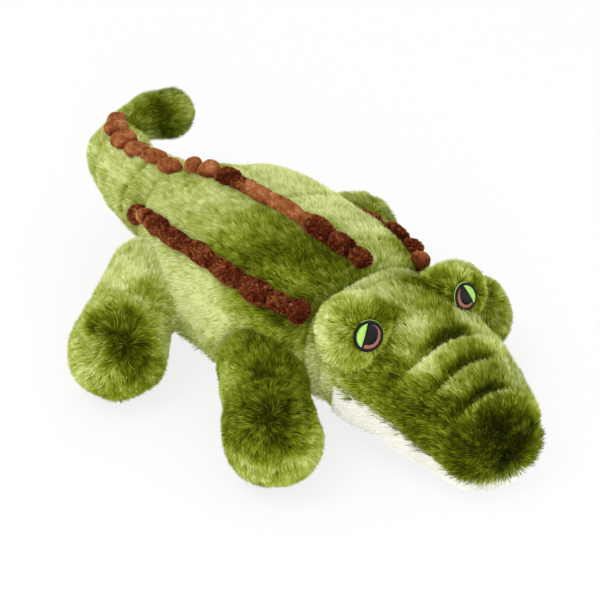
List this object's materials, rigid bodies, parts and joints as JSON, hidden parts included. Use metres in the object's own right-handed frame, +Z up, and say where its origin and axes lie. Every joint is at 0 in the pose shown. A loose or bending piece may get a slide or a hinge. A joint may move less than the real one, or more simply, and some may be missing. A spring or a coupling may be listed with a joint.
{
  "type": "plush alligator dog toy",
  "caption": "Plush alligator lying on its belly, with splayed stuffed legs, a curled tail, brow domes with embroidered eyes and scalloped ridges down its back.",
  "frame": {"origin": "on the floor, at the middle of the belly's flat rest face, on the animal's mid-plane", "axes": "+Z up, the animal faces -Y, and its left side is +X"},
  "size_m": [0.3426, 0.5728, 0.1435],
  "materials": {
    "plush_green": "long-pile plush, lime tips over dark green roots",
    "plush_brown": "short-pile plush, rust brown",
    "minky_cream": "short-pile minky, cream white",
    "thread_black": "rayon satin-stitch embroidery, black",
    "thread_lime": "rayon satin-stitch embroidery, lime",
    "thread_brown": "rayon satin-stitch embroidery, brown",
    "fibrefill_white": "polyester fibre stuffing",
    "squeaker_plastic": "soft blow-moulded polyethylene"
  },
  "bodies": {
    "torso": {"torso_stuffing_front": "fibrefill_white", "torso_stuffing_rear": "fibrefill_white", "squeaker_bulb": "squeaker_plastic", "squeaker_reed": "squeaker_plastic", "back_panel_right": "plush_green", "back_panel_left": "plush_green", "side_panel_right": "plush_green", "side_panel_left": "plush_green", "belly_panel": "minky_cream", "back_ridge": "plush_brown", "flank_ridge_right": "plush_brown", "flank_ridge_left": "plush_brown", "neck_gusset": "plush_green", "leg_root_front_right": "plush_green", "leg_root_front_left": "plush_green", "leg_root_rear_right": "plush_green", "leg_root_rear_left": "plush_green", "tail_root": "plush_green"},
    "head": {"head_stuffing": "fibrefill_white", "head_top_panel": "plush_green", "jaw_panel": "minky_cream", "snout_thread_1": "plush_green", "snout_thread_2": "plush_green", "snout_thread_3": "plush_green", "brow_right": "plush_green", "brow_left": "plush_green", "brow_stuffing_right": "fibrefill_white", "brow_stuffing_left": "fibrefill_white", "eye_right": "thread_black", "eye_left": "thread_black", "eye_lid_right": "thread_lime", "eye_lid_left": "thread_lime", "eye_iris_right": "thread_brown", "eye_iris_left": "thread_brown"},
    "leg_front_right": {"leg_skin_front_right": "plush_green", "sole_panel_front_right": "plush_green", "leg_stuffing_front_right": "fibrefill_white"},
    "leg_front_left": {"leg_skin_front_left": "plush_green", "sole_panel_front_left": "plush_green", "leg_stuffing_front_left": "fibrefill_white"},
    "leg_rear_right": {"leg_skin_rear_right": "plush_green", "sole_panel_rear_right": "plush_green", "leg_stuffing_rear_right": "fibrefill_white"},
    "leg_rear_left": {"leg_skin_rear_left": "plush_green", "sole_panel_rear_left": "plush_green", "leg_stuffing_rear_left": "fibrefill_white"},
    "tail": {"tail_skin": "plush_green", "tail_stuffing": "fibrefill_white", "tail_ridge": "plush_brown", "tail_bend_gusset": "plush_green"},
    "tail_tip": {"tail_tip_skin": "plush_green", "tail_tip_stuffing": "fibrefill_white"}
  },
  "joints": [
    {"name": "neck_nod", "type": "hinge", "parent": "torso", "child": "head", "pos_m": [0, -0.09982, 0.06079], "axis": [1, 0, 0], "range_deg": [-12, 12], "stiffness_Nm_per_rad": 2, "deforming": ["neck_gusset"]},
    {"name": "leg_flap_front_right", "type": "hinge", "parent": "torso", "child": "leg_front_right", "pos_m": [-0.08993, -0.06369, 0.0453], "axis": [0, 1, 0], "range_deg": [-20, 25], "stiffness_Nm_per_rad": 0.8, "deforming": ["leg_root_front_right"]},
    {"name": "leg_flap_front_left", "type": "hinge", "parent": "torso", "child": "leg_front_left", "pos_m": [0.08993, -0.06369, 0.0453], "axis": [0, -1, 0], "range_deg": [-20, 25], "stiffness_Nm_per_rad": 0.8, "deforming": ["leg_root_front_left"]},
    {"name": "leg_flap_rear_right", "type": "hinge", "parent": "torso", "child": "leg_rear_right", "pos_m": [-0.08734, 0.09491, 0.05333], "axis": [0, 1, 0], "range_deg": [-20, 25], "stiffness_Nm_per_rad": 0.8, "deforming": ["leg_root_rear_right"]},
    {"name": "leg_flap_rear_left", "type": "hinge", "parent": "torso", "child": "leg_rear_left", "pos_m": [0.08734, 0.09491, 0.05333], "axis": [0, -1, 0], "range_deg": [-20, 25], "stiffness_Nm_per_rad": 0.8, "deforming": ["leg_root_rear_left"]},
    {"name": "tail_swing", "type": "hinge", "parent": "torso", "child": "tail", "pos_m": [0, 0.15418, 0.07204], "axis": [0, 0, 1], "range_deg": [-20, 20], "stiffness_Nm_per_rad": 0.8, "deforming": ["tail_root"]},
    {"name": "tail_tip_curl", "type": "hinge", "parent": "tail", "child": "tail_tip", "pos_m": [0.02923, 0.27652, 0.07859], "axis": [0, 0, 1], "range_deg": [-25, 25], "stiffness_Nm_per_rad": 0.5, "deforming": ["tail_bend_gusset"]}
  ]
}
